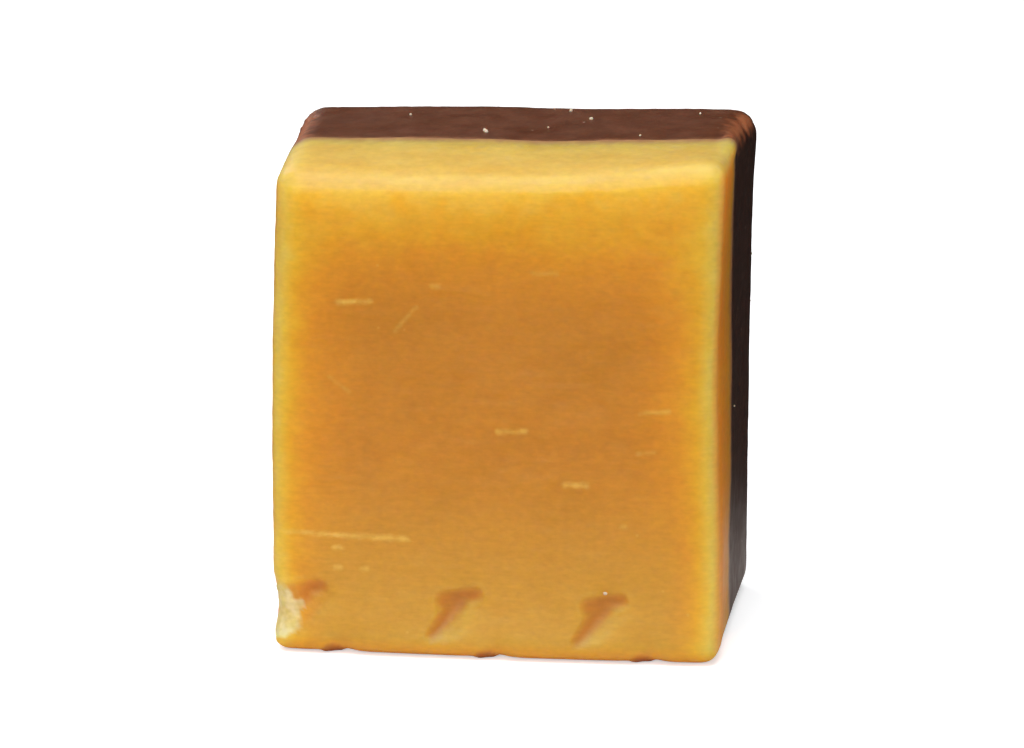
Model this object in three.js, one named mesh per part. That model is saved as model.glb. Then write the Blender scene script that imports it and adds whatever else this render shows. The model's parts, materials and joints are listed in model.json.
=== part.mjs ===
// A block of two-layer fudge. A caramel layer and a darker chocolate layer were poured as
// one slab, pressed together and cut, so the two meet face to face with no filling between.
// The block stands on one of its cut sides, with its caramel face to the front.
//
// Units are millimetres. +Z is up, the caramel face looks along -Y and the chocolate face
// along +Y. The origin is the middle of the footprint, on the surface that it stands on.
//
// Each layer starts as a plain box with a grid of points on its skin. One chain of functions
// then moves every point: crowd the grid, round the edges, bow the faces, press the marks.
// Both layers go through the same chain, so their sides stay flush where they meet.

import * as THREE from 'three';
import { mergeVertices } from 'three/addons/utils/BufferGeometryUtils.js';

const { clamp, lerp, smoothstep } = THREE.MathUtils;

// ---------------------------------------------------------------- driving dimensions

const WIDTH = 25.2;
const HEIGHT = 28.5;
const CARAMEL_DEPTH = 6.3;
const CHOCOLATE_DEPTH = 10.1;
const DEPTH = CARAMEL_DEPTH + CHOCOLATE_DEPTH;

// The layers touch over their whole inner face. This hairline keeps their solids apart.
const SEAM_GAP = 0.02;
const SEAM_SWAY = 0.25; // how far the seam wanders to either side of its middle depth
const SEAM_WAVES = { across: 2.6, up: 2.2 }; // radians of sway over half the width and the height

// The edge radius at each corner of the block. Between corners it changes evenly.
const CORNER_RADII = {
  front: { bottom: { left: 0.85, right: 1.0 }, top: { left: 1.5, right: 1.0 } },
  back: { bottom: { left: 1.1, right: 1.3 }, top: { left: 1.4, right: 1.4 } },
};

// Soft fudge gives a little as it is cut and packed.
const LEFT_LEAN = 0.25; // the top of the left side stands this far right of its base
const LEFT_BULGE = 0.3;
const RIGHT_WAIST = 0.15; // the right side is drawn in at half its height
const TOP_SLOPE = 0.5; // the top climbs this much from left to right
const LIP_SLOPE = 0.3; // its front edge climbs this much more
const LIP_DROOP = 0.7; // and sags this much in its middle
const LIP_REACH = 3.2; // both fade out over this depth
const FRONT_HOLLOW = 0.3; // the caramel face is a shallow dish
const FOOT_SPREAD = 1.0; // its foot has swollen forward
const BACK_FLARE = { base: 0.45, top: 0.85 }; // each side of the back stands this far out
const BACK_CROWN = 0.3; // and the chocolate face bulges

// Slow lumps all over: how high they are, and their waves in radians a millimetre.
const LUMP_HEIGHT = 0.045;
const LUMP_WAVES = [
  new THREE.Vector3(0.41, 0, 0.23),
  new THREE.Vector3(0, -0.37, 0.29),
  new THREE.Vector3(0.19, 0.53, -0.31),
];
const FLAT_FOOT = 3; // the lumps fade in over this height, because the base is flat

// Marks that a ribbed belt pressed into the caramel face, in a row above the base.
const DENT_COUNT = 3;
const DENT_PITCH = 8.25;
const FIRST_DENT = -10.1; // the first head's place along X
const DENT_HEIGHT = 3.5; // the heads' height above the base
const DENT_DEPTH = 0.36;
const DENT_LENGTH = 2.4; // from head to tail
const DENT_HEAD = 1.3; // half width at the head
const DENT_TAIL = 0.75; // half width at the tail
const DENT_SLOPE = 4.15; // the tail's direction in radians, down and to the left
const PRESSED_SKIN = 3; // depth over which a mark on the face fades out

// The next row of the same belt only nicked the bottom edge.
const NICK_PITCH = 8.7;
const FIRST_NICK = -8.9;
const NICK_WIDTH = 1.5;
const NICK_DEPTH = 0.45;

// A flake torn off the lower left edge.
const TORN_CENTRE = new THREE.Vector3(-WIDTH / 2, 0, 2.5);
const TORN_RADIUS = 1.9;
const TORN_DEPTH = 0.4;

// How many cells the grid has along X, Y and Z. The marked face needs the finer one.
const CARAMEL_CELLS = [48, 5, 38];
const CHOCOLATE_CELLS = [24, 6, 26];
const EDGE_CROWDING = 0.35; // 0 spaces the grid evenly; towards 1 it gathers at the edges
const SKIN_CROWDING = 1.6; // above 1 the cells are thinner near the outer face

// ------------------------------------------------------------------------- materials

const caramel = new THREE.MeshStandardMaterial({ color: 0xd8963c, roughness: 0.45, metalness: 0 });
const chocolate = new THREE.MeshStandardMaterial({ color: 0x432a20, roughness: 0.4, metalness: 0 });

// -------------------------------------------------------------------- shape functions

// 1 in the middle of a face and 0 at its edges, for a place from -1 to 1 across it.
const middle = (t) => 1 - t * t;

// 0 over most of a face and 1 at its two ends, for the same place.
const ends = (t) => Math.abs(t) ** 3;

// Spreads grid lines from -1 to 1 so that more of them lie near both ends.
const crowd = (t) => t + (EDGE_CROWDING * Math.sin(Math.PI * t)) / Math.PI;

// A place in the block as shares: across from -1 to 1, back and up from 0 to 1.
function shares(p) {
  return {
    across: clamp((2 * p.x) / WIDTH, -1, 1),
    back: clamp(p.y / DEPTH, 0, 1),
    up: clamp(p.z / HEIGHT, 0, 1),
  };
}

// The depth of the seam between the layers, which sways a little from side to side.
function seamDepth(across, up) {
  const sway = Math.sin(SEAM_WAVES.across * across + SEAM_WAVES.up * up);
  return CARAMEL_DEPTH + SEAM_SWAY * sway * Math.cos(2 * SEAM_WAVES.up * up);
}

function edgeRadius(p) {
  const { across, back, up } = shares(p);
  const right = (across + 1) / 2;
  const along = (face) =>
    lerp(
      lerp(face.bottom.left, face.bottom.right, right),
      lerp(face.top.left, face.top.right, right),
      up
    );
  return lerp(along(CORNER_RADII.front), along(CORNER_RADII.back), back);
}

// Turns each square shell round the core of the block into a round one.
function roundEdges(p) {
  const r = edgeRadius(p);
  const core = new THREE.Vector3(
    clamp(p.x, -WIDTH / 2 + r, WIDTH / 2 - r),
    clamp(p.y, r, DEPTH - r),
    clamp(p.z, r, HEIGHT - r)
  );
  const out = p.clone().sub(core);
  const length = out.length();
  if (length === 0) return;
  const square = Math.max(Math.abs(out.x), Math.abs(out.y), Math.abs(out.z));
  p.copy(core).addScaledVector(out, square / length);
}

// Leans, bulges and sags the sides of the block.
function bowFaces(p) {
  const { across, back, up } = shares(p);
  const upright = 2 * up - 1;
  const endwise = 2 * back - 1;
  const left = Math.max(0, -across) ** 2;
  const right = Math.max(0, across) ** 2;
  const front = (1 - back) ** 2;
  p.x += LEFT_LEAN * left * (up - 0.5);
  p.x -= LEFT_BULGE * left * middle(upright) * (1 - endwise ** 2 / 2);
  p.x -= RIGHT_WAIST * right * middle(upright);
  p.x += lerp(BACK_FLARE.base, BACK_FLARE.top, up) * across * back ** 2;
  p.y -= FOOT_SPREAD * front * (1 - up) ** 4 * (1 - across ** 2 / 2);
  p.y += FRONT_HOLLOW * front * middle(across) * middle(upright);
  p.y += BACK_CROWN * back ** 2 * middle(across) * middle(upright);
  const lip = up ** 3 * Math.exp(-((p.y / LIP_REACH) ** 2));
  p.z += (across / 2) * (TOP_SLOPE * up + LIP_SLOPE * lip);
  p.z -= LIP_DROOP * lip * middle(across);
}

// Adds the slow lumps, each face in and out along its own direction.
function roughen(p) {
  const { across, back, up } = shares(p);
  const lump = (shift) => {
    const waves = LUMP_WAVES.reduce((sum, wave) => sum + Math.sin(wave.dot(p) + shift), 0);
    return LUMP_HEIGHT * waves * smoothstep(p.z, 0, FLAT_FOOT);
  };
  const push = new THREE.Vector3(lump(1), lump(2), lump(3));
  p.x += push.x * ends(across);
  p.y += push.y * ends(2 * back - 1);
  p.z += push.z * ends(up);
}

// How deep one tear-shaped dent is at a place on the caramel face, from 0 to 1.
function tearShape(x, z, headX) {
  const dx = x - headX;
  const dz = z - DENT_HEIGHT;
  const along = (dx * Math.cos(DENT_SLOPE) + dz * Math.sin(DENT_SLOPE)) / DENT_LENGTH;
  const aside = -dx * Math.sin(DENT_SLOPE) + dz * Math.cos(DENT_SLOPE);
  const t = clamp(along, 0, 1);
  const past = (along - t) * DENT_LENGTH;
  const share = Math.hypot(aside, past) / lerp(DENT_HEAD, DENT_TAIL, t);
  return smoothstep(1 - share, 0, 1);
}

function pressDents(p) {
  const skin = clamp(1 - p.y / PRESSED_SKIN, 0, 1);
  for (let i = 0; i < DENT_COUNT; i++) {
    const headX = FIRST_DENT + i * DENT_PITCH;
    p.y += DENT_DEPTH * skin * tearShape(p.x, p.z, headX);
  }
}

function nickBottomEdge(p) {
  const nearEdge = clamp(1 - p.z / NICK_WIDTH, 0, 1) * clamp(1 - p.y / NICK_WIDTH, 0, 1);
  for (let i = 0; i < DENT_COUNT; i++) {
    const x = FIRST_NICK + i * NICK_PITCH;
    const nick = NICK_DEPTH * nearEdge * Math.exp(-(((p.x - x) / (NICK_WIDTH / 2)) ** 2));
    p.y += nick;
    p.z += nick / 2;
  }
}

function tearCorner(p) {
  const near = clamp(1 - p.distanceTo(TORN_CENTRE) / TORN_RADIUS, 0, 1);
  const scoop = TORN_DEPTH * smoothstep(near, 0, 0.6);
  p.x += scoop;
  p.y += scoop / 2;
}

// ----------------------------------------------------------------------------- layers

// One layer of the block. `side` is 1 for the front layer and -1 for the back one, and
// `outerY` is the depth of its outer face. Its other face is the seam.
function layer(name, side, outerY, cells, material) {
  const box = new THREE.BoxGeometry(2, 2, 2, ...cells);
  box.deleteAttribute('normal');
  box.deleteAttribute('uv');
  const geometry = mergeVertices(box);
  const points = geometry.getAttribute('position');
  const p = new THREE.Vector3();
  for (let i = 0; i < points.count; i++) {
    p.fromBufferAttribute(points, i);
    const across = crowd(p.x);
    const up = (crowd(p.z) + 1) / 2;
    const inward = ((1 + side * p.y) / 2) ** SKIN_CROWDING;
    const seamY = seamDepth(across, up) - (side * SEAM_GAP) / 2;
    p.set((across * WIDTH) / 2, lerp(outerY, seamY, inward), up * HEIGHT);
    roundEdges(p);
    bowFaces(p);
    roughen(p);
    pressDents(p);
    nickBottomEdge(p);
    tearCorner(p);
    points.setXYZ(i, p.x, p.y, p.z);
  }
  geometry.computeVertexNormals();
  const mesh = new THREE.Mesh(geometry, material);
  mesh.name = name;
  return mesh;
}

const fudge = new THREE.Group();
fudge.add(layer('caramel_layer', 1, 0, CARAMEL_CELLS, caramel));
fudge.add(layer('chocolate_layer', -1, DEPTH, CHOCOLATE_CELLS, chocolate));

// Stand the block on its base, with the middle of its footprint at the origin.
const extent = new THREE.Box3().setFromObject(fudge);
const centre = extent.getCenter(new THREE.Vector3());
fudge.position.set(-centre.x, -centre.y, -extent.min.z);

export default fudge;
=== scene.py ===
# %% [markdown]
# # A block of two-layer fudge
#
# The real thing is a soft sweet, about 25 mm wide, cut from a slab of two layers. The pale
# layer is caramel fudge and the dark one is chocolate fudge. All that the eye gets is its
# soft edges, the way light soaks into the caramel, and the small marks that the belt and the
# knife left. So this lesson makes one plain block, wears it down a little at a time, cuts it
# in two along the seam, and then spends most of its effort on two materials.
#
# The CAD model is loaded first. It is the frame: it says how large each layer is and where
# it stands, and nothing here moves it.

# %% The frame
import json

import bmesh
import bpy
import numpy as np
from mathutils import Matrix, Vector, kdtree

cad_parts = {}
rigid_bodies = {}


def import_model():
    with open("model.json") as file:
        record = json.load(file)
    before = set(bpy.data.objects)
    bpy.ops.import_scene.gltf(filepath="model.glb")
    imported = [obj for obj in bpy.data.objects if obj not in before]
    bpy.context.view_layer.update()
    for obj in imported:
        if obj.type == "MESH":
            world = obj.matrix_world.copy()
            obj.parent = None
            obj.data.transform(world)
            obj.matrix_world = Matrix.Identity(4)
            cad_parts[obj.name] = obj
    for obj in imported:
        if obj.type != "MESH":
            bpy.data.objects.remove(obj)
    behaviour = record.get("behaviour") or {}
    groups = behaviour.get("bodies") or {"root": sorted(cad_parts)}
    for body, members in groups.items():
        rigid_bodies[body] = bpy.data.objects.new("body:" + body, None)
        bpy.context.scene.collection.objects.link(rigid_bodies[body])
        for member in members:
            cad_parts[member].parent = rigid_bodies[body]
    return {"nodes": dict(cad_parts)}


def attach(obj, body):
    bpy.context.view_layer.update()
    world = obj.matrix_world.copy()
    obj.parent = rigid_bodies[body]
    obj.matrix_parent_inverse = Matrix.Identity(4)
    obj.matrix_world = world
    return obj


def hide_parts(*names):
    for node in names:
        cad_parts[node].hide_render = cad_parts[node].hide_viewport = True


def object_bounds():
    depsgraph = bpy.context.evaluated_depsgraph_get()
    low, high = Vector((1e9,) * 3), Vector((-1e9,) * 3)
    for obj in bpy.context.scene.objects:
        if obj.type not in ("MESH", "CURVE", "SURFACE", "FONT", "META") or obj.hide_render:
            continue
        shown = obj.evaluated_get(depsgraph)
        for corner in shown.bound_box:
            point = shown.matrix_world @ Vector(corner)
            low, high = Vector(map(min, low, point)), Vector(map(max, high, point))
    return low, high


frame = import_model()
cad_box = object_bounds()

MM = 0.001
low, high = (Vector(corner) for corner in cad_box)
middle = (low + high) / 2
print("the block measures", [round(side / MM, 1) for side in high - low], "mm")

# %% [markdown]
# ## The camera
#
# The camera stands close by with a long lens and looks a little down, so the broad face shows
# almost square, with a sliver of the top and of the right side. It could be tied to a target,
# but one that is simply turned to the block's middle does the same and leaves no extra object.

# %% The camera
CAMERA_PLACE = Vector((35.6, -295.2, 94.3)) * MM
CAMERA_LENS = 190

bpy.ops.object.camera_add(location=CAMERA_PLACE)
camera = bpy.context.object
camera.rotation_euler = (middle - CAMERA_PLACE).to_track_quat("-Z", "Y").to_euler()
camera.data.sensor_width = 36
camera.data.lens = CAMERA_LENS
camera.data.clip_start = 0.01
bpy.context.scene.camera = camera
print("the camera stands", round((middle - CAMERA_PLACE).length / MM), "mm from the block")

# %% [markdown]
# ## Shader helpers
#
# A material is a small network of nodes. These helpers add one node with its settings and
# wire its inputs in the same call, so a network reads from the inside out like a formula.

# %% Nodes and numbers


def wire(tree, socket, source):
    """Feeds a socket from another socket, or sets it to a plain value."""
    if isinstance(source, bpy.types.NodeSocket):
        tree.links.new(source, socket)
    else:
        socket.default_value = source


def feed(tree, node, inputs):
    """Feeds several sockets of a node."""
    for name, source in inputs.items():
        wire(tree, node.inputs[name], source)
    return node


def add(tree, kind, inputs=None, **settings):
    """A new node with its settings made and its inputs wired."""
    node = tree.nodes.new("ShaderNode" + kind)
    for name, value in settings.items():
        setattr(node, name, value)
    return feed(tree, node, inputs or {})


def fact(tree, name):
    """A stored attribute of the piece."""
    return add(tree, "Attribute", attribute_name=name).outputs["Fac"]


def sums(tree, operation, *values, clamp=False):
    """One step of arithmetic."""
    inputs = dict(enumerate(values))
    return add(tree, "Math", inputs, operation=operation, use_clamp=clamp).outputs[0]


def fade(tree, value, start, end, first=0.0, last=1.0):
    """Turns a value's run from start to end into a smooth run from first to last."""
    inputs = {"Value": value, "From Min": start, "From Max": end, "To Min": first, "To Max": last}
    return add(tree, "MapRange", inputs, interpolation_type="SMOOTHSTEP").outputs["Result"]


def mixed(tree, share, first, second):
    """Two values added up, the first by its share and the second by the rest."""
    parts = sums(tree, "MULTIPLY", first, share), sums(tree, "MULTIPLY", second, 1 - share)
    return sums(tree, "ADD", *parts)


def swing(tree, value, strength):
    """How far a value from 0 to 1 lies off its middle, times a strength."""
    return sums(tree, "MULTIPLY", sums(tree, "SUBTRACT", value, 0.5), strength)


def place_along(tree, where, axis):
    """One coordinate of a place."""
    return add(tree, "SeparateXYZ", {0: where}).outputs[axis]


def scaled(tree, vector, factor):
    """A place or a colour, multiplied by one number."""
    inputs = {0: vector, "Scale": factor}
    return add(tree, "VectorMath", inputs, operation="SCALE").outputs["Vector"]


print("a value can be fed, added, mixed and faded")

# %% Colours and clouds


def blend(tree, share, first, second):
    """A colour between two colours."""
    node = add(tree, "Mix", data_type="RGBA", clamp_factor=True)
    return feed(tree, node, {0: share, 6: first, 7: second}).outputs[2]


def tint(tree, shade, mask, strength, paint):
    """A colour with paint over it, as strong as the mask times the strength."""
    return blend(tree, sums(tree, "MULTIPLY", mask, strength), shade, paint)


def ramp(tree, value, stops):
    """A colour that runs through several stops while a value goes from 0 to 1."""
    node = add(tree, "ValToRGB", {"Fac": value})
    points = node.color_ramp.elements
    points.remove(points[1])
    points[0].position = stops[0][0]
    points[0].color = stops[0][1]
    for place, shade in stops[1:]:
        points.new(place).color = shade
    return node.outputs["Color"]


def cloudy(tree, where, size, detail=2.0, stretch=(1, 1, 1), shift=0.0):
    """Noise from 0 to 1 with lumps of about that many millimetres."""
    per_metre = [1 / (size * MM * part) for part in stretch]
    mapping = {"Vector": where, "Location": (shift, shift, shift), "Scale": per_metre}
    place = add(tree, "Mapping", mapping).outputs["Vector"]
    inputs = {"Vector": place, "Scale": 1.0, "Detail": detail, "Roughness": 0.55}
    return add(tree, "TexNoise", inputs).outputs["Fac"]


def colour(red, green, blue):
    """A full colour, as light and not as screen values."""
    return (red, green, blue, 1.0)


def new_finish(name):
    """A new material, its node tree and its main shader."""
    finish = bpy.data.materials.new(name)
    finish.use_nodes = True
    return finish, finish.node_tree, finish.node_tree.nodes["Principled BSDF"]


print("a colour can be blended, tinted and clouded")

# %% [markdown]
# ## Floor and light
#
# The block stands on a white sweep. One broad soft lamp hangs over it, a little in front and
# to the left, so that the top is the brightest and the upper front edge catches a highlight.
# Weaker lamps fill the front, the right side and the back. A white floor would throw so much
# light back that the dark layer looked grey. In a studio, black cards round the block would
# stop that. Here the floor and the sky are pale to the eye, and darker to the light that
# bounces, except for the strip of floor close to the block, which lights its foot. The floor
# lies a hair below the base, because two faces in one plane would flicker.

# %% The floor
FLOOR_DROP = 0.02 * MM
FLOOR_SIZE = 3.0
FLOOR_SEEN = colour(0.93, 0.93, 0.93)
FLOOR_GLOW = 0.5
FLOOR_BOUNCED = (colour(0.70, 0.69, 0.68), colour(0.30, 0.30, 0.31))  # near and far
FLOOR_MIRRORED = (colour(0.95, 0.86, 0.80), colour(0.03, 0.03, 0.03))
CARD_PLACES = (18 * MM, 35 * MM)  # the floor turns dark from here to there


def floor_finish():
    """A matt white that gives only part of its light back to the block."""
    finish, tree, shader = new_finish("pale_floor")
    ray = add(tree, "LightPath").outputs
    off = add(tree, "VectorMath", {0: add(tree, "TexCoord").outputs["Object"]}, operation="LENGTH")
    beyond = fade(tree, off.outputs["Value"], *CARD_PLACES)
    looks = (blend(tree, beyond, *look) for look in (FLOOR_BOUNCED, FLOOR_MIRRORED))
    unseen = blend(tree, ray["Is Glossy Ray"], *looks)
    shown = blend(tree, ray["Is Camera Ray"], unseen, FLOOR_SEEN)
    glow = blend(tree, ray["Is Camera Ray"], colour(0, 0, 0), colour(1, 1, 1))
    feed(tree, shader, {"Base Color": shown, "Emission Color": glow})
    plain = {"Emission Strength": FLOOR_GLOW, "Roughness": 0.9, "Specular IOR Level": 0.1}
    feed(tree, shader, plain)
    return finish


bpy.ops.mesh.primitive_plane_add(size=FLOOR_SIZE, location=(0, 0, -FLOOR_DROP))
floor = bpy.context.object
floor.name = "floor"
floor.data.materials.append(floor_finish())
print("the floor is", FLOOR_SIZE, "m wide")

# %% Lamps and sky
SKY_SEEN = colour(1.0, 1.0, 1.0)
SKY_FELT = colour(0.13, 0.14, 0.15)
SKY_MIRRORED = colour(0.02, 0.02, 0.02)


def soft_lamp(name, place, size, power):
    """A square lamp that is aimed at the block's middle."""
    bpy.ops.object.light_add(type="AREA", location=Vector(place) * MM)
    lamp = bpy.context.object
    lamp.name = name
    lamp.rotation_euler = (middle - lamp.location).to_track_quat("-Z", "Y").to_euler()
    lamp.data.size = size * MM
    lamp.data.energy = power


soft_lamp("lamp_over", (-20, -150, 400), 300, 1.64)
soft_lamp("lamp_front", (-60, -400, 150), 260, 0.83)
soft_lamp("lamp_right", (380, -60, 140), 260, 0.20)
soft_lamp("lamp_back", (-280, 290, 300), 260, 0.75)

world = bpy.context.scene.world or bpy.data.worlds.new("studio")
bpy.context.scene.world = world
world.use_nodes = True
sky = world.node_tree
ray = add(sky, "LightPath").outputs
unseen = blend(sky, ray["Is Glossy Ray"], SKY_FELT, SKY_MIRRORED)
shown = blend(sky, ray["Is Camera Ray"], unseen, SKY_SEEN)
wire(sky, sky.nodes["Background"].inputs["Color"], shown)
bpy.context.scene.view_settings.view_transform = "Standard"

# %% [markdown]
# ## Small tools
#
# Blender's operators act on whatever is selected, and loading the frame leaves its parts
# selected. These helpers pick one object at a time, run an edit-mode step on it, and apply
# a modifier with its settings in one line. Masks are worked out for all points at once.

# %% Selecting and editing


def pick(piece):
    """Makes one object the selected and active one."""
    bpy.ops.object.select_all(action="DESELECT")
    piece.select_set(True)
    bpy.context.view_layer.objects.active = piece
    return piece


def edit(piece, step):
    """Runs one step in edit mode, with everything deselected before it."""
    pick(piece)
    bpy.ops.object.mode_set(mode="EDIT")
    bpy.ops.mesh.select_mode(type="EDGE")
    bpy.ops.mesh.select_all(action="DESELECT")
    step()
    bpy.ops.object.mode_set(mode="OBJECT")


def finish_with(piece, kind, **settings):
    """Adds a modifier, sets it and applies it."""
    pick(piece)
    modifier = piece.modifiers.new(kind.lower(), kind)
    for name, value in settings.items():
        setattr(modifier, name, value)
    bpy.ops.object.modifier_apply(modifier=modifier.name)


def drop(*pieces):
    """Deletes helper objects."""
    for piece in pieces:
        bpy.data.objects.remove(piece, do_unlink=True)


print("still selected:", len(bpy.context.selected_objects), "object")

# %% Points, directions and weights


def places(piece):
    """Every point of a mesh in millimetres, one row each."""
    flat = np.empty(len(piece.data.vertices) * 3)
    piece.data.vertices.foreach_get("co", flat)
    return flat.reshape(-1, 3) / MM


def directions(piece):
    """Which way every point of a mesh faces."""
    flat = np.empty(len(piece.data.vertices) * 3)
    piece.data.vertex_normals.foreach_get("vector", flat)
    return flat.reshape(-1, 3)


def ease(values, start, end):
    """0 up to start, 1 from end, and a smooth step between them."""
    t = np.clip((values - start) / (end - start), 0, 1)
    return t * t * (3 - 2 * t)


def weigh(piece, name, weights):
    """A vertex group from one weight for each point. Points of no weight are left out."""
    group = piece.vertex_groups.new(name=name)
    for index in np.flatnonzero(weights > 0.001):
        group.add([int(index)], float(weights[index]), "REPLACE")
    return group.name


print("the floor's points, in mm:", places(floor).round(2).tolist())

# %% [markdown]
# ## A pattern to wrap onto
#
# The frame's two solids are facets of about half a millimetre: right in size, too coarse to
# look at. Their welded copies become a pattern. A finer skin will be wrapped onto it, so the
# new pieces have exactly the size and the place of the old ones. The copies are deleted once
# they have served.

# %% A pattern to wrap onto
WELD = 0.001 * MM


def welded_copy(node):
    """A copy of a CAD node whose loose triangles are joined up."""
    pick(frame["nodes"][node])
    bpy.ops.object.duplicate(linked=False)
    copy = bpy.context.object
    bpy.ops.object.parent_clear(type="CLEAR_KEEP_TRANSFORM")
    copy.data.materials.clear()

    def weld():
        bpy.ops.mesh.select_all(action="SELECT")
        bpy.ops.mesh.remove_doubles(threshold=WELD)

    edit(copy, weld)
    return copy


pattern = welded_copy("caramel_layer")
seam = welded_copy("caramel_layer")
other_half = welded_copy("chocolate_layer")
pick(pattern)
other_half.select_set(True)
bpy.ops.object.join()
print("the pattern has", len(pattern.data.vertices), "points")

# %% [markdown]
# ## The seam as a knife
#
# The face where the layers meet is not flat: it sways by a quarter of a millimetre. It could
# be drawn again, but it is already there, as the back of the caramel pattern. That face is
# kept and the rest is deleted. Its rim is pulled outwards past the block, a few soft waves
# are added, and the sheet is thickened forwards into a solid that will part the block.

# %% The seam as a knife
BACKWARDS = 0.9  # a face that looks back more squarely than this is the seam
SEAM_REACH = 1.3  # how far the rim is pulled, against the block's own width and height
SEAM_RIPPLE = 0.12 * MM
SEAM_RIPPLE_LENGTH = 2.0
KNIFE_DEPTH = 12 * MM
NOISE_LAYERS = 2  # finer clouds within the clouds


def noise(name, size):
    """A cloudy texture for a Displace modifier, with lumps of about that many millimetres."""
    texture = bpy.data.textures.new(name, "CLOUDS")
    texture.noise_scale = size * MM
    texture.noise_depth = NOISE_LAYERS
    return texture


def keep_only_the_seam():
    mesh = bmesh.from_edit_mesh(seam.data)
    for face in mesh.faces:
        face.select_set(face.normal.y < BACKWARDS)
    bmesh.update_edit_mesh(seam.data)
    bpy.ops.mesh.delete(type="FACE")


def stretch_the_rim():
    bpy.ops.mesh.select_all(action="SELECT")
    bpy.ops.mesh.region_to_loop()
    bpy.ops.mesh.extrude_edges_move()
    bpy.ops.transform.resize(value=(SEAM_REACH, 1, SEAM_REACH), center_override=middle)
    bpy.ops.mesh.select_all(action="SELECT")
    bpy.ops.mesh.subdivide(number_cuts=1)


def thicken_forwards():
    bpy.ops.mesh.select_all(action="SELECT")
    bpy.ops.mesh.extrude_region_move(TRANSFORM_OT_translate={"value": (0, -KNIFE_DEPTH, 0)})
    bpy.ops.mesh.select_all(action="SELECT")
    bpy.ops.mesh.normals_make_consistent(inside=False)


edit(seam, keep_only_the_seam)
edit(seam, stretch_the_rim)
ripple = noise("seam_ripple", SEAM_RIPPLE_LENGTH)
finish_with(seam, "DISPLACE", texture=ripple, strength=SEAM_RIPPLE, direction="Y", mid_level=0.5)
pick(seam)
bpy.ops.object.duplicate(linked=False)
knife = bpy.context.object
edit(knife, thicken_forwards)
print("the seam sheet has", len(seam.data.polygons), "faces")

# %% [markdown]
# ## The block's skin
#
# One cube is enough for both layers. It is added at the block's size and place, its twelve
# edges are bevelled as a soft sweet's edges are, and its long edges are cut again and again
# until the faces are small squares of about a seventh of a millimetre. Then the skin is
# wrapped onto the pattern and relaxed, which also takes the pattern's facets out.

# %% The block's skin
EDGE_ROUNDING = 1.1 * MM
ROUNDING_STEPS = 7
LONG_EDGE = 1.0 * MM
STRAIGHT = 0.99  # how squarely an edge runs along its axis
CUTS = {"X": (12, 12), "Y": (9, 9), "Z": (13, 12)}
RELAX_STEPS = 18
RELAX_SHARE = 0.5  # how far each step moves a point towards its neighbours


def round_the_edges():
    bpy.ops.mesh.select_all(action="SELECT")
    bpy.ops.mesh.bevel(offset=EDGE_ROUNDING, segments=ROUNDING_STEPS, affect="EDGES")


def cut_across(axis, cuts):
    """Cuts every long edge that runs along one axis into equal lengths."""
    mesh = bmesh.from_edit_mesh(block.data)
    for edge in mesh.edges:
        along = edge.verts[1].co - edge.verts[0].co
        reach = abs(along[axis])
        edge.select_set(reach > LONG_EDGE and reach > STRAIGHT * along.length)
    bmesh.update_edit_mesh(block.data)
    bpy.ops.mesh.subdivide(number_cuts=cuts)


bpy.ops.mesh.primitive_cube_add(size=1, location=middle)
block = bpy.context.object
block.scale = high - low
bpy.ops.object.transform_apply(location=True, rotation=False, scale=True)
edit(block, round_the_edges)
for axis, rounds in enumerate(CUTS.values()):
    for cuts in rounds:
        edit(block, lambda: cut_across(axis, cuts))
finish_with(block, "SHRINKWRAP", target=pattern, wrap_method="NEAREST_SURFACEPOINT")
finish_with(block, "SMOOTH", factor=RELAX_SHARE, iterations=RELAX_STEPS)
print("the skin has", len(block.data.polygons), "faces")

# %% [markdown]
# ## How far it is to an edge
#
# Wear, paleness and crumbs all gather at the edges, so every point needs to know how far it
# is from one. On a flat side a point faces along X, Y or Z. On a rounded edge it faces
# between two of them, so the points of the edges can be told by their direction alone. They
# go into a search tree, and each point of the skin asks it for the nearest. The edges round
# the base are left out, because a foot that is pressed to a belt neither dries nor wears.

# %% How far it is to an edge
SQUARELY = 0.8  # a point that faces no axis more than this lies on an edge
FAR = 8.0  # millimetres, past which nothing changes
BASE_EDGE = 1.2  # the base's edges lie below this height

spots = places(block)
on_edge = (np.abs(directions(block)).max(axis=1) < SQUARELY) & (spots[:, 2] > BASE_EDGE)
edge_spots = spots[on_edge]
edge_tree = kdtree.KDTree(len(edge_spots))
for index, spot in enumerate(edge_spots):
    edge_tree.insert(spot, index)
edge_tree.balance()


def from_edge(spots):
    """The distance in millimetres from each point to the nearest edge."""
    return np.minimum([edge_tree.find(spot)[2] for spot in spots], FAR)


print(len(edge_spots), "points lie on the edges")

# %% [markdown]
# ## A sharp corner at the seam
#
# The top right edge is softly rounded in front and at the back, but where the layers meet the
# knife has left it almost sharp. The points there face half up and half sideways. A Displace
# modifier pushes them out along their own direction, most at the middle of the bend and at
# the seam, and less with every step away from either.

# %% A sharp corner at the seam
CORNER_RISE = 0.42 * MM
CORNER_REACH = (0.3, 3.2)  # millimetres from the seam


def push(name, weights, strength, direction="NORMAL", **settings):
    """Moves the skin where the weights say. A minus turns the direction round."""
    settings = {"mid_level": 0, "vertex_group": weigh(block, name, weights), **settings}
    finish_with(block, "DISPLACE", strength=strength, direction=direction, **settings)


spots, facing = places(block), directions(block)
at_seam = 1 - ease(np.abs(spots[:, 1] - places(seam)[:, 1].mean()), *CORNER_REACH)
bend = np.clip(facing[:, 0], 0, 1) * np.clip(facing[:, 2], 0, 1) * 2
push("corner", at_seam * bend**2, CORNER_RISE)
print(int((at_seam * bend > 0.5).sum()), "points moved out at the corner")

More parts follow.
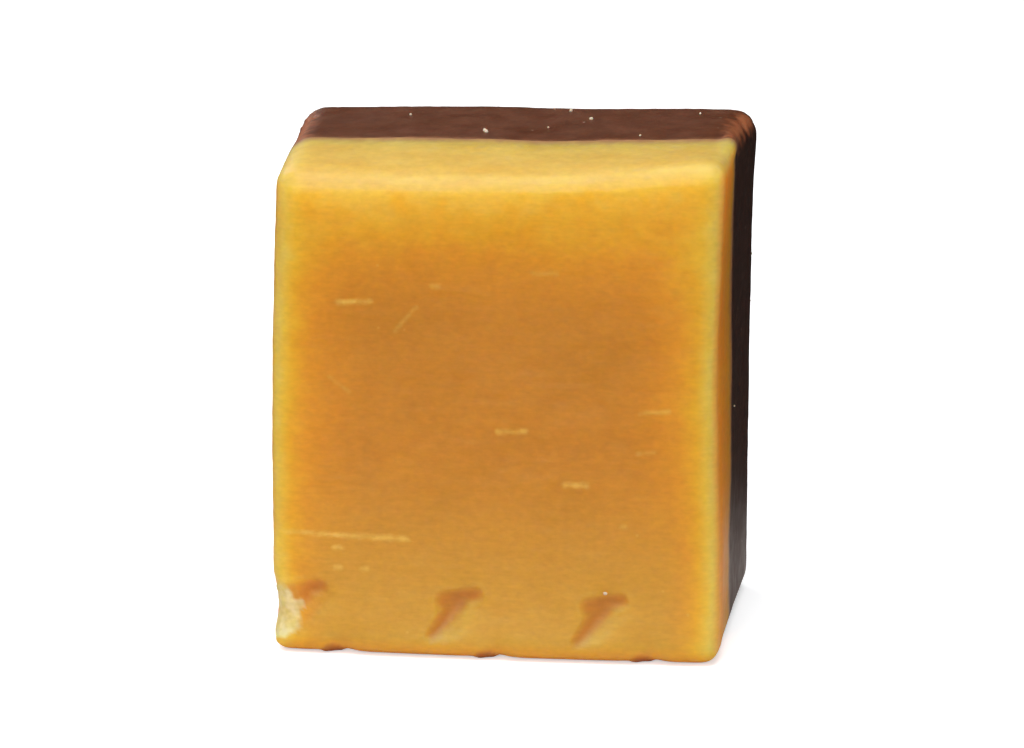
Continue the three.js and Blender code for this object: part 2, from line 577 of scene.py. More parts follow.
# %% [markdown]
# ## Lumps, drag lines and ragged edges
#
# A cut sweet is never flat. Slow lumps come from packing, fine lines along the broad faces
# come from the belt, and lines across the cut sides come from the knife. The chocolate's
# back edges have crumbled a little. Each is a Displace modifier with its own cloudy texture.
# The lines use the same clouds, but read them through a stretched helper, so that each cloud
# becomes a streak. Nothing reaches the base, which stays flat.

# %% Lumps, drag lines and ragged edges
FOOT_HEIGHTS = (0.05, 1.5)  # the roughness sets in between these
BROAD_FACING = (0.6, 0.95)  # how squarely a broad face looks forwards or back
BACK_DEPTHS = (2.0, 5.0)
LUMPS = {"size": 3.5, "height": 0.11}
GRAIN = {"size": 0.6, "height": 0.030}
BELT_LINES = {"size": 0.32, "height": 0.030, "stretch": (14, 1, 1)}
KNIFE_LINES = {"size": 0.45, "height": 0.010, "stretch": (1, 7, 1)}
CRUMBLE = {"size": 0.55, "height": 0.26}
CRUMBLE_REACH = (0.1, 0.9)  # millimetres from an edge
CRUMBLE_LEVEL = 0.75  # above a half, it takes away more than it adds
BACK_LUMPS = {"size": 5.5, "height": 0.40}
BACK_PITS = {"size": 1.1, "height": 0.10}

spots, facing = places(block), directions(block)
near_edge = 1 - ease(from_edge(spots), *CRUMBLE_REACH)
above_foot = ease(spots[:, 2], *FOOT_HEIGHTS)
broad = ease(np.abs(facing[:, 1]), *BROAD_FACING)
at_back = ease(spots[:, 1], *BACK_DEPTHS)


def rough(name, look, weights, mid_level=0.5):
    """Pushes the skin in and out by clouds of one size, where the weights say."""
    helper = None
    settings = {"texture": noise(name, look["size"]), "texture_coords": "LOCAL"}
    if "stretch" in look:
        bpy.ops.object.empty_add()
        helper = bpy.context.object
        helper.scale = look["stretch"]
        bpy.context.view_layer.update()
        settings.update(texture_coords="OBJECT", texture_coords_object=helper)
    push(name, weights, look["height"] * MM, mid_level=mid_level, **settings)
    if helper:
        drop(helper)


rough("lumps", LUMPS, above_foot)
rough("grain", GRAIN, above_foot)
rough("belt_lines", BELT_LINES, above_foot * broad)
rough("knife_lines", KNIFE_LINES, above_foot * (1 - broad))
rough("back_lumps", BACK_LUMPS, above_foot * at_back * broad)
rough("back_pits", BACK_PITS, above_foot * at_back * broad)
rough("crumble", CRUMBLE, above_foot * at_back * near_edge, mid_level=CRUMBLE_LEVEL)
print("lowest point after roughening:", round(places(block)[:, 2].min(), 3), "mm")

# %% [markdown]
# ## The marks at the foot
#
# A ribbed belt pressed a row of small dents into the foot of the caramel face, and its next
# row nicked the bottom edge. Each dent is a slanting bar that runs into a tail. One could
# carve it with a Boolean and a small stamp, but that leaves a hard rim. Here each point's
# distance to the two strokes is turned into a weight, and a Displace modifier pushes by it,
# so the dent has soft walls and a low rim of displaced fudge.

# %% Where the marks lie
DENT_HEADS = [(-10.8, 3.6), (-2.0, 3.42), (6.2, 3.35)]  # across and up
BAR = ((-0.75, -0.05), (0.95, 0.35), 0.45, 0.30)  # from, to, and the half width at both
TAIL = ((-0.1, -0.2), (-1.5, -2.05), 0.50, 0.20)
NICKS = [-9.2, -0.5, 8.3]
NICK_SIZE = (0.75, 0.65)  # half width and height
NICK_BORDER = (0.3, 1.2)
FRONT = -6.0  # the broad face lies in front of this depth
NOWHERE = 10  # added behind it, where there is no dent


def past_stroke(spots, head, stroke):
    """How far each point lies outside a tapered stroke, in the plane of the broad face."""
    start, end, first_width, last_width = stroke
    begin = np.add(head, start)
    run = np.subtract(end, start)
    away = spots[:, (0, 2)] - begin
    t = np.clip(away @ run / (run @ run), 0, 1)
    width = first_width + (last_width - first_width) * t
    return np.linalg.norm(away - np.outer(t, run), axis=1) - width


def dent_gap(spots):
    """How far each point lies outside the nearest dent. Inside a dent it is negative."""
    gaps = [past_stroke(spots, head, stroke) for head in DENT_HEADS for stroke in (BAR, TAIL)]
    return np.min(gaps, axis=0) + NOWHERE * (spots[:, 1] > FRONT)


def nick_share(spots, size=NICK_SIZE):
    """1 in the middle of a nick in the bottom edge and 0 outside it."""
    gaps = [((spots[:, 0] - x) / size[0]) ** 2 + (spots[:, 2] / size[1]) ** 2 for x in NICKS]
    return (1 - ease(np.min(gaps, axis=0), *NICK_BORDER)) * (spots[:, 1] < FRONT)


gap = dent_gap(spots)
print("points inside a dent:", int((gap < 0).sum()))

# %% Pressing them in
DENT_PRESS = 0.10 * MM
DENT_WALL = 0.35
RIM_RISE = 0.05 * MM
RIM_START, RIM_WIDTH = 0.05, 0.45  # from the dent's border
NICK_REACH = (1.0, 1.3)  # half width and height of the dip round each nick
NICK_FILL = 0.12 * MM
NICK_PRESS = 0.20 * MM
FOOT_LIFT = 0.25  # below this height a nick's floor is put back on the base

push("dents", 1 - ease(gap, -DENT_WALL, DENT_WALL), DENT_PRESS, "Y")
ridge = ease(gap, RIM_START, RIM_WIDTH / 2) * (1 - ease(gap, RIM_WIDTH / 2, RIM_WIDTH))
push("rims", ridge, -RIM_RISE, "Y")
push("nick_fill", nick_share(spots, NICK_REACH), -NICK_FILL, "Y")
push("nicks", nick_share(spots), NICK_PRESS, "Y")
low_down = np.minimum(spots[:, 2] / FOOT_LIFT, 1)
push("foot", nick_share(spots) * low_down, -FOOT_LIFT * MM, "Z")
print("lowest point after pressing:", round(places(block)[:, 2].min(), 3), "mm")

# %% [markdown]
# ## The torn corner
#
# Near the foot of the left edge a flake has torn off. The pattern already has the hollow. Its
# floor is roughened here, with a ragged outline, and is paler than the skin round it. The scar
# is a blob of weight whose border is broken up by soft waves, worked out for each point.

# %% The torn corner
SCAR_MIDDLE = (-12.2, -8.2, 2.35)
SCAR_HALF = (1.6, 1.6, 1.8)
SCAR_BORDER = (0.72, 0.92)
SCAR_WAVES = 0.5  # how long the waves of its outline are
SCAR_RAGGED = 0.225  # and how far they shift it
SCAR_RISE = 0.08 * MM
SCAR_ROUGH = {"size": 0.5, "height": 0.13}


def clouds(spots, size):
    """Soft noise from -1 to 1 for each point, from a few crossed waves."""
    x, y, z = (spots / size).T
    first = np.sin(1.7 * x + 1.3 * np.sin(1.1 * z + y)) * np.cos(1.4 * z + np.sin(1.9 * x))
    second = np.sin(2.9 * z + 2.3 * x + 1.7 * y) * np.cos(3.3 * x - 1.2 * z)
    return 0.65 * first + 0.35 * second


def scar_share(spots):
    """1 inside the torn scar and 0 outside it, with a ragged border."""
    reach = np.linalg.norm((spots - SCAR_MIDDLE) / SCAR_HALF, axis=1)
    return 1 - ease(reach + SCAR_RAGGED * clouds(spots, SCAR_WAVES), *SCAR_BORDER)


scar = scar_share(spots)
push("scar", scar, SCAR_RISE)
rough("scar_rough", SCAR_ROUGH, scar)
print("points in the scar:", int((scar > 0.5).sum()))

# %% [markdown]
# ## Two layers from one block
#
# Now the knife parts the block. The front half is what the block and the knife share, and
# the back half is what is left without it. Cutting last is why the two halves stay flush:
# every lump and edge runs straight across the seam. The corner where the seam meets the
# sides must stay sharp, so the smooth shading stops at an angle.

# %% Two layers from one block
SHARP_ANGLE = 0.9


def half(name, operation):
    """One layer of the block, cut out with the knife."""
    pick(block)
    bpy.ops.object.duplicate(linked=False)
    piece = bpy.context.object
    piece.name = name
    piece.data.name = name
    piece.vertex_groups.clear()
    finish_with(piece, "BOOLEAN", object=knife, operation=operation, solver="MANIFOLD")
    piece.data.materials.clear()
    bpy.ops.object.shade_smooth_by_angle(angle=SHARP_ANGLE)
    return piece


caramel = half("caramel", "INTERSECT")
chocolate = half("chocolate", "DIFFERENCE")
for piece in (caramel, chocolate):
    print(piece.name, "has", len(piece.data.polygons), "faces")

# %% [markdown]
# ## What each point knows
#
# The materials need several facts about a point: how far it is from an edge and from the
# seam, and whether it lies in a pressed mark, which gets painted shade, in the scar, on the
# crumbly rim of the back, on the top, which gets paler painted light, or on a cut side, which
# gets painted shade, the right one most. Each is stored as an attribute of the mesh: a number
# for each point, which a shader can read by its name.

# %% What each point knows
DENT_COLOUR = 0.48  # how fully the floor of a dent and of a nick takes the painted dent shade
NICK_COLOUR = 0.95
DENT_BORDER = (-0.3, 0.35)
FACING_UP = (0.05, 0.65)
FACING_ASIDE = (0.5, 0.95)
LEFT_SIDE_SHADE = {"caramel": 0.3, "chocolate": 0.9}  # how much painted shade the left side takes, against the right
RIM_REACH = (0.05, 0.5)  # over which the crumbly rim of the back ends
RIM_DEPTH = (6.4, 7.4)  # and the depths over which it begins
SIDE_RIM = 0.8  # how crumbly the cut sides are just in front of it
SIDE_RIM_FACING = (0.5, 0.9)
SIDE_RIM_DEPTH = (7.0, 7.7)


def store(piece, name, values):
    """Writes one number for each point of a piece."""
    attribute = piece.data.attributes.new(name, "FLOAT", "POINT")
    attribute.data.foreach_set("value", values.astype(np.float32))


def from_seam(spots):
    """The distance in millimetres from each point to the seam sheet."""
    nearest = [seam.closest_point_on_mesh(Vector(spot) * MM)[1] for spot in spots]
    return np.linalg.norm(spots - np.array(nearest) / MM, axis=1)


for piece in (caramel, chocolate):
    spots = places(piece)
    edge_gap = from_edge(spots)
    store(piece, "edge_gap", edge_gap)
    store(piece, "seam_gap", from_seam(spots))
    # Where the dents and nicks get painted shade in the material.
    dented = DENT_COLOUR * (1 - ease(dent_gap(spots), *DENT_BORDER))
    store(piece, "dent_shade", np.maximum(dented, NICK_COLOUR * nick_share(spots)))
    store(piece, "scar", scar_share(spots))
    # How far each point faces up, for the painted light of the top.
    store(piece, "lit_top", ease(directions(piece)[:, 2], *FACING_UP))
    across = directions(piece)[:, 0]
    # Painted shade for the cut sides: full on the right, and less on the left.
    left_shade = LEFT_SIDE_SHADE[piece.name] * ease(-across, *FACING_ASIDE)
    store(piece, "painted_side_shade", ease(across, *FACING_ASIDE) + left_shade)
    rim = (1 - ease(edge_gap, *RIM_REACH)) * ease(spots[:, 1], *RIM_DEPTH)
    side_rim = SIDE_RIM * ease(np.abs(across), *SIDE_RIM_FACING)
    store(piece, "crumbly", np.maximum(rim, side_rim * ease(spots[:, 1], *SIDE_RIM_DEPTH)))
drop(pattern, seam, knife, block)
print("stored:", [a.name for a in caramel.data.attributes if a.data_type == "FLOAT"])

# %% [markdown]
# ## Effects that both layers share
#
# Both layers are fudge, so both have a fine sugary grain, and both were dragged over the
# same belt. Each effect is built once as a node group with named inputs and outputs, and
# each material places it with values of its own. A group only gives out masks and heights:
# the shader itself stays in the material.

# %% Groups


def new_group(name, inputs, outputs):
    """An empty shader node group. An input whose value is None is a vector."""
    tree = bpy.data.node_groups.new(name, "ShaderNodeTree")
    for socket, value in inputs.items():
        kind = "NodeSocketVector" if value is None else "NodeSocketFloat"
        made = tree.interface.new_socket(socket, in_out="INPUT", socket_type=kind)
        if value is not None:
            made.default_value = value
    for socket in outputs:
        tree.interface.new_socket(socket, in_out="OUTPUT", socket_type="NodeSocketFloat")
    return tree, tree.nodes.new("NodeGroupInput"), tree.nodes.new("NodeGroupOutput")


def place_group(tree, group, inputs):
    """Puts a group in a material and sets or wires its inputs."""
    node = tree.nodes.new("ShaderNodeGroup")
    node.node_tree = group
    return feed(tree, node, inputs).outputs


print("groups can be made and placed")

# %% Sugary grain
FLECKED = 0.30  # how strongly flecks and streaks of the grain lighten and darken a colour
STREAKED = 0.16
FINE_SHARE = 0.45  # of the height, and coarser clouds make the rest
SLOW_SHARE = 0.6  # of the mottle
MOTTLE_RUN = (0.35, 0.65)  # where most values of the mottle lie
RELIEF = 0.03 * MM


def make_grain():
    """Sugar grain: a height for the bump, and mottle, streaks and flecks for the colour."""
    sockets = {"Place": None, "Coarseness": 1.0}
    tree, given, out = new_group("fudge_grain", sockets, ("Height", "Mottle", "Streak", "Fleck"))
    finer = sums(tree, "DIVIDE", 1.0, given.outputs["Coarseness"])
    where = scaled(tree, given.outputs["Place"], finer)
    fine = cloudy(tree, where, 0.16, detail=3.0)
    coarse = cloudy(tree, where, 0.7)
    slow = cloudy(tree, where, 4.5, detail=3.0)
    middling = cloudy(tree, where, 1.3, detail=3.0, shift=7.0)
    streak = cloudy(tree, where, 0.17, detail=3.0, stretch=(5, 5, 1), shift=5.0)
    fleck = cloudy(tree, where, 0.30, detail=4.0, stretch=(1.6, 1.6, 1), shift=9.0)
    height = mixed(tree, FINE_SHARE, fine, coarse)
    mottle = mixed(tree, SLOW_SHARE, slow, middling)
    feed(tree, out, {"Height": height, "Mottle": mottle, "Streak": streak, "Fleck": fleck})
    return tree


def grained(tree, shade, lumps):
    """A colour made a little lighter and darker by the flecks and streaks of the grain."""
    flecks = swing(tree, lumps["Fleck"], FLECKED)
    streaks = swing(tree, lumps["Streak"], STREAKED)
    return scaled(tree, shade, sums(tree, "ADD", 1.0, sums(tree, "ADD", flecks, streaks)))


def grain_relief(tree, shader, lumps, strength):
    """Lets the grain's height shape the light on the skin."""
    inputs = {"Height": lumps["Height"], "Strength": strength, "Distance": RELIEF}
    wire(tree, shader.inputs["Normal"], add(tree, "Bump", inputs).outputs["Normal"])


grain = make_grain()
print("the grain is a group of", len(grain.nodes), "nodes")

# %% Belt scuffs and sugar specks
SCUFFS_FROM = (0.86, 0.25)  # the clouds' level, and how far a full amount lowers it
SCUFF_BORDER = 0.06
STREAK_SHARE = 0.7  # how much of the clouds' level is streaks, and patches make the rest
SPECK_BORDER = (0.5, 1.1)
LUCKY_CELLS = 0.8  # only cells that draw more than this hold a speck


def make_scuffs():
    """Short pale streaks that the belt left, sparse and all along X."""
    tree, given, out = new_group("belt_scuffs", {"Place": None, "Amount": 0.5}, ("Scuff",))
    where = given.outputs["Place"]
    streak = cloudy(tree, where, 0.16, detail=1.0, stretch=(11, 11, 1))
    patch = cloudy(tree, where, 1.7, detail=1.0, shift=3.0)
    level, less = SCUFFS_FROM
    start = sums(tree, "SUBTRACT", level, sums(tree, "MULTIPLY", given.outputs["Amount"], less))
    above = sums(tree, "SUBTRACT", mixed(tree, STREAK_SHARE, streak, patch), start)
    wire(tree, out.inputs["Scuff"], sums(tree, "DIVIDE", above, SCUFF_BORDER, clamp=True))
    return tree


def make_specks():
    """Tiny pale dots: sugar that shows at the surface."""
    sockets = {"Place": None, "Spacing": 1.0, "Size": 0.1}
    tree, given, out = new_group("sugar_specks", sockets, ("Speck",))
    scale = sums(tree, "DIVIDE", 1 / MM, given.outputs["Spacing"])
    inputs = {"Vector": given.outputs["Place"], "Scale": scale, "Randomness": 1.0}
    cells = add(tree, "TexVoronoi", inputs).outputs
    share = sums(tree, "DIVIDE", cells["Distance"], given.outputs["Size"])
    near = fade(tree, share, *SPECK_BORDER, 1.0, 0.0)
    draw = add(tree, "SeparateColor", {0: cells["Color"]}).outputs[0]
    lucky = sums(tree, "GREATER_THAN", draw, LUCKY_CELLS)
    wire(tree, out.inputs["Speck"], sums(tree, "MULTIPLY", near, lucky))
    return tree


scuffs, specks = make_scuffs(), make_specks()
print("scuffs take", len(scuffs.nodes), "nodes and specks", len(specks.nodes))

# %% One scratch
STROKE_BORDER = (0.35, 1.6)


def make_stroke():
    """One scratch on a broad face: 1 along a line from Start by Run and 0 a Width off it."""
    sockets = {"Place": None, "Start": None, "Run": None, "Width": 0.1, "Wear": 0.5}
    tree, given, out = new_group("scratch", sockets, ("Mask",))
    run = given.outputs["Run"]
    flat = add(tree, "VectorMath", {0: given.outputs["Place"], 1: (1, 0, 1)}, operation="MULTIPLY")
    ends = {0: flat.outputs[0], 1: given.outputs["Start"]}
    away = add(tree, "VectorMath", ends, operation="SUBTRACT")
    dots = [
        add(tree, "VectorMath", {0: first, 1: run}, operation="DOT_PRODUCT").outputs["Value"]
        for first in (away.outputs[0], run)
    ]
    along = sums(tree, "DIVIDE", *dots, clamp=True)
    ends = {0: away.outputs[0], 1: scaled(tree, run, along)}
    off = add(tree, "VectorMath", ends, operation="DISTANCE").outputs["Value"]
    share = sums(tree, "DIVIDE", off, sums(tree, "MULTIPLY", given.outputs["Width"], MM))
    level = sums(tree, "ADD", share, given.outputs["Wear"])
    wire(tree, out.inputs["Mask"], fade(tree, level, *STROKE_BORDER, 1.0, 0.0))
    return tree


stroke = make_stroke()
print("a scratch is a group of", len(stroke.nodes), "nodes")

# %% Many scratches
SCRATCH_WEAR = {"size": 0.25, "stretch": (2, 1, 1)}
PATCHES = {"size": 0.8, "shift": 2.0}
PATCH_BORDER = (0.35, 0.6)
WORN = 0.45  # between the patches, a scratch keeps this much of its strength


def scratched(tree, where, strokes):
    """The strongest of several scratches at each point, each as strong as its list says."""
    wear = cloudy(tree, where, **SCRATCH_WEAR)
    level = 0.0
    for start, end, width, strength in strokes:
        run = Vector((end[0] - start[0], 0, end[1] - start[1])) * MM
        begin = Vector((start[0], 0, start[1])) * MM
        inputs = {"Place": where, "Start": begin, "Run": run, "Width": width, "Wear": wear}
        mask = place_group(tree, stroke, inputs)["Mask"]
        level = sums(tree, "MAXIMUM", level, sums(tree, "MULTIPLY", mask, strength))
    patchy = fade(tree, cloudy(tree, where, **PATCHES), *PATCH_BORDER, WORN, 1.0)
    return sums(tree, "MULTIPLY", level, patchy)


print("a worn scratch keeps", WORN, "of its strength")

# %% The smear and a bare fudge
SMEAR_CLOUDS = {"size": 0.9, "stretch": (1, 2.5, 1)}


def off_the_seam(tree, where):
    """The distance from the seam, made uneven by clouds, for a ragged smear."""
    return sums(tree, "ADD", fact(tree, "seam_gap"), cloudy(tree, where, **SMEAR_CLOUDS))


def fudge(name, coarseness, amount, spacing, size):
    """A new fudge: its finish, tree and shader, the place, and the shared effects on it."""
    finish, tree, shader = new_finish(name)
    where = add(tree, "TexCoord").outputs["Object"]
    lumps = place_group(tree, grain, {"Place": where, "Coarseness": coarseness})
    streaks = place_group(tree, scuffs, {"Place": where, "Amount": amount})["Scuff"]
    dots = place_group(tree, specks, {"Place": where, "Spacing": spacing, "Size": size})["Speck"]
    return finish, tree, shader, where, lumps, streaks, dots


print("groups:", [group.name for group in bpy.data.node_groups])

# %% [markdown]
# ## Caramel
#
# Caramel fudge is half translucent. Light enters, turns golden and comes out a millimetre or
# two away, which is why the lit edges glow and the middle of the face stays a deep ochre.
# Subsurface scattering gives part of that, and painted glow gives the rest: the base colour
# runs from ochre through amber to gold by the distance from an edge and the height. The foot
# has painted light bounced from the floor, the sides painted shade, the top paler painted
# light, and the edges a painted cream highlight. Pressed marks have painted shade and are
# redder, the scar is a dry cream, and a little chocolate is smeared in at the seam.

# %% The run of shades
# Painted glow: towards the edges and the top the shades turn paler and more golden, as light soaking
# in from the lit faces makes them look.
CARAMEL_SHADES = [  # from the middle of a face out to its edge
    (0.00, colour(0.50, 0.205, 0.021)),
    (0.20, colour(0.58, 0.235, 0.022)),
    (0.42, colour(0.64, 0.260, 0.020)),
    (0.62, colour(0.70, 0.302, 0.020)),
    (0.80, colour(0.73, 0.370, 0.020)),
    (0.93, colour(0.75, 0.434, 0.032)),
    (1.00, colour(0.745, 0.472, 0.056)),
]
INSIDE = 0.2  # where on that run the middle of a face lies
EDGE_REACH = 5.5  # millimetres over which an edge makes the face paler
TOP_REACH = (19.5 * MM, 27.5 * MM)  # and the heights over which the top does
EDGE_CURVE = 1.5  # above 1, the paleness keeps closer to the edge
CLOUDED = 0.6  # how far slow clouds shift the run


def painted_caramel_glow(tree, above, lumps):
    """How far along its run of shades each point lies: painted glow from the edges and the top, with
    slow clouds.
    """
    off_edge = sums(tree, "DIVIDE", fact(tree, "edge_gap"), EDGE_REACH)
    off_edge = sums(tree, "SUBTRACT", 1.0, off_edge, clamp=True)
    by_edge = sums(tree, "POWER", off_edge, EDGE_CURVE)
    start, end = TOP_REACH
    by_top = sums(tree, "DIVIDE", sums(tree, "SUBTRACT", above, start), end - start, clamp=True)
    rest = (sums(tree, "SUBTRACT", 1.0, share) for share in (by_edge, by_top))
    depth = sums(tree, "MULTIPLY", sums(tree, "MULTIPLY", *rest), 1 - INSIDE)
    level = sums(tree, "SUBTRACT", 1.0, depth)
    return sums(tree, "ADD", level, swing(tree, lumps["Mottle"], CLOUDED))


print("the caramel runs through", len(CARAMEL_SHADES), "shades")

# %% Sound caramel
# Painted highlight: a pale cream along every edge stands in for the light that the rounded edges
# catch.
EDGE_HIGHLIGHT_CREAM = colour(0.72, 0.52, 0.20)
HIGHLIGHT_REACH = (0.0, 1.0)  # millimetres from an edge over which the painted cream highlight ends
HIGHLIGHTED = 0.3
LIT_TOP_FROM = (0.5, 1.0)
LIT_TOP_CREAM = 0.6  # an up-facing edge shows only this part of the painted cream highlight
# Painted light: a paler honey near the foot stands in for light bounced up from the floor.
PAINTED_BOUNCE = colour(0.58, 0.300, 0.032)
PAINTED_BOUNCE_REACH = (2 * MM, 13 * MM)
INWARD = (0.2, 3.0)  # millimetres from an edge over which the painted bounce sets in
SIDE_SHADE_SHARE = 0.8  # how fully the painted shade of a side, and of the foot, takes the amber
FOOT_REACH = (0.1 * MM, 1.3 * MM)
# Painted shade: a deep amber for the shaded cut sides and the very foot.
SHADE_AMBER = colour(0.90, 0.285, 0.018)
# Painted light: faces that look up take paler, yellower shades, as they look in the brighter light
# from above.
LIT_TOP_CLOUDS = {"size": 1.2, "detail": 5.0, "stretch": (2, 1, 1)}
LIT_TOP_SHADES = [(0.35, colour(0.585, 0.355, 0.067)), (0.65, colour(0.62, 0.410, 0.090))]


def caramel_colour(tree, where, lumps):
    """The colour of sound caramel, with painted light: glow outwards, bounce at the foot, shade on
    the sides, a lit top and a cream highlight at the edges.
    """
    above = place_along(tree, where, "Z")
    shade = ramp(tree, painted_caramel_glow(tree, above, lumps), CARAMEL_SHADES)
    # Painted bounce light from the floor, low down and away from the edges.
    low_down = fade(tree, above, *PAINTED_BOUNCE_REACH, 1.0, 0.0)
    inward = fade(tree, fact(tree, "edge_gap"), *INWARD)
    shade = tint(tree, shade, low_down, inward, PAINTED_BOUNCE)
    # Painted shade on the cut sides, most on the right, and at the very foot.
    side_shade = sums(tree, "MULTIPLY", fact(tree, "painted_side_shade"), SIDE_SHADE_SHARE)
    reddish = fade(tree, above, *FOOT_REACH, SIDE_SHADE_SHARE, 0.0)
    shade = blend(tree, sums(tree, "MAXIMUM", reddish, side_shade), shade, SHADE_AMBER)
    # Painted light on the faces that look up.
    lit_top = ramp(tree, cloudy(tree, where, **LIT_TOP_CLOUDS), LIT_TOP_SHADES)
    shade = blend(tree, fact(tree, "lit_top"), shade, lit_top)
    # Painted highlight along the edges, weaker on the lit top.
    rim = fade(tree, fact(tree, "edge_gap"), *HIGHLIGHT_REACH, HIGHLIGHTED, 0.0)
    not_lit_top = fade(tree, fact(tree, "lit_top"), *LIT_TOP_FROM, 1.0, LIT_TOP_CREAM)
    return tint(tree, shade, rim, not_lit_top, EDGE_HIGHLIGHT_CREAM)


print("a dried edge shows", LIT_TOP_CREAM, "of its cream")

# %% Scratches on the caramel
CARAMEL_SCRATCHES = [  # from, to, width and strength, in millimetres across and up
    ((-8.8, 20.35), (-7.0, 20.45), 0.26, 0.90),
    ((-11.9, 7.1), (-8.3, 6.95), 0.24, 0.85),
    ((-8.3, 6.95), (-5.0, 6.85), 0.28, 0.75),
    ((-4.4, 20.2), (-5.6, 18.8), 0.20, 0.35),
    ((-9.3, 16.0), (-8.2, 15.2), 0.20, 0.30),
    ((-3.5, 21.4), (-3.2, 21.4), 0.28, 0.40),
    ((2.1, 22.3), (3.4, 22.3), 0.22, 0.35),
    ((0.1, 13.2), (1.7, 13.25), 0.25, 0.60),
    ((3.9, 10.25), (5.1, 10.3), 0.28, 0.65),
    ((8.0, 12.2), (8.9, 12.3), 0.20, 0.45),
    ((8.1, 14.5), (9.7, 14.7), 0.22, 0.45),
    ((-9.05, 6.25), (-8.65, 6.25), 0.26, 0.60),
    ((-9.0, 5.1), (-8.7, 5.1), 0.26, 0.60),
    ((-7.45, 5.05), (-7.2, 5.1), 0.25, 0.50),
    ((7.1, 7.95), (7.3, 7.95), 0.22, 0.40),
]
print("the caramel has", len(CARAMEL_SCRATCHES), "scratches")

# %% The marks on the caramel
# Painted shade: a deeper red in dents and nicks stands in for the shade in their hollows.
DENT_SHADE_RED = colour(0.50, 0.130, 0.016)
TORN_CLOUDS = 0.9
TORN_SHADES = [(0.38, colour(0.62, 0.46, 0.17)), (0.62, colour(0.74, 0.59, 0.33))]
SCUFF_CREAM = colour(0.78, 0.50, 0.10)
SMEAR_BROWN = colour(0.35, 0.155, 0.078)
SMEAR_REACH = (0.2, 1.8)
SMEARED, SCUFFED, SPECKLED, TORN = 0.95, 0.3, 0.25, 0.9  # how fully each mark covers
CARAMEL_GRAIN = {"coarseness": 1.0, "amount": 0.5, "spacing": 1.6, "size": 0.07}
CARAMEL_SATIN = (0.42, 0.54)  # the roughness, between the clearest and the cloudiest patch
SCAR_DULL = 0.25  # what the scar adds to it
CARAMEL_RELIEF = 0.35  # how strongly the grain shapes the light
CARAMEL_DEPTHS = (6.0, 4.5, 0.7)  # how far red, green and blue travel, in millimetres
SEALED = (0.05, 1.2)  # nearer to the seam than this, the chocolate behind takes the glow away


def make_caramel():
    """Half translucent, satin, with every mark that the skin carries."""
    finish, tree, shader, where, lumps, streaks, dots = fudge("caramel_fudge", **CARAMEL_GRAIN)
    scar = fact(tree, "scar")

    shade = caramel_colour(tree, where, lumps)
    smear = fade(tree, off_the_seam(tree, where), *SMEAR_REACH, SMEARED, 0.0)
    shade = blend(tree, smear, shade, SMEAR_BROWN)
    # Painted shade in the dents and nicks.
    shade = blend(tree, fact(tree, "dent_shade"), shade, DENT_SHADE_RED)
    shade = tint(tree, shade, streaks, SCUFFED, SCUFF_CREAM)
    shade = tint(tree, shade, dots, SPECKLED, SCUFF_CREAM)
    front = sums(tree, "LESS_THAN", place_along(tree, where, "Y"), FRONT * MM)
    shade = tint(tree, shade, scratched(tree, where, CARAMEL_SCRATCHES), front, SCUFF_CREAM)
    torn = ramp(tree, cloudy(tree, where, TORN_CLOUDS), TORN_SHADES)
    shade = tint(tree, shade, scar, TORN, torn)
    wire(tree, shader.inputs["Base Color"], grained(tree, shade, lumps))

    satin = fade(tree, lumps["Mottle"], *MOTTLE_RUN, *CARAMEL_SATIN)
    dull = sums(tree, "MULTIPLY", scar, SCAR_DULL)
    wire(tree, shader.inputs["Roughness"], sums(tree, "ADD", satin, dull))
    grain_relief(tree, shader, lumps, CARAMEL_RELIEF)

    glow = fade(tree, fact(tree, "seam_gap"), *SEALED)
    feed(tree, shader, {"Subsurface Weight": glow, "Subsurface Radius": CARAMEL_DEPTHS})
    feed(tree, shader, {"Subsurface Scale": MM, "Specular IOR Level": 0.3})
    return finish


caramel.data.materials.append(make_caramel())
print("caramel travels", CARAMEL_DEPTHS, "mm in red, green and blue")

# %% [markdown]
# ## Chocolate
#
# The chocolate layer is far darker, so little light comes back out of it, and what shows is
# its satin skin. Handling leaves a dusty mauve bloom on the flats, and the edges, where the
# skin is rubbed through, are a redder brown. The cut sides carry painted shade and are almost
# black. A few faint scratches cross the broad face behind, and its rim has crumbled to a paler
# tan.

# %% Rubbed edges
RUBBED_RED = colour(0.430, 0.137, 0.055)
RUB_CLOUDS = {"size": 0.8, "detail": 3.0}
RUB_PATCHY = 1.8  # how unevenly the edges are rubbed
RUB_REACH = (0.8, 1.75)
RUBBED = 0.85
RUB_DEPTH = (5.5 * MM, 7.5 * MM)  # from here to there it fades to RUBBED_BACK
RUBBED_BACK = 0.4
CRUMB_COVER = 0.4  # how much of it the crumbly rim hides


def rubbed_edges(tree, where, depth):
    """How far the skin is rubbed through, patchy along the edges and less at the back."""
    patchy = sums(tree, "MULTIPLY", cloudy(tree, where, **RUB_CLOUDS), RUB_PATCHY)
    rubbed = fade(tree, sums(tree, "ADD", fact(tree, "edge_gap"), patchy), *RUB_REACH, RUBBED, 0.0)
    rubbed = sums(tree, "MULTIPLY", rubbed, fade(tree, depth, *RUB_DEPTH, 1.0, RUBBED_BACK))
    covered = sums(tree, "MULTIPLY", fact(tree, "crumbly"), CRUMB_COVER)
    return sums(tree, "SUBTRACT", rubbed, covered, clamp=True)


print("the edges are rubbed up to", RUB_REACH[1], "mm from the bend")

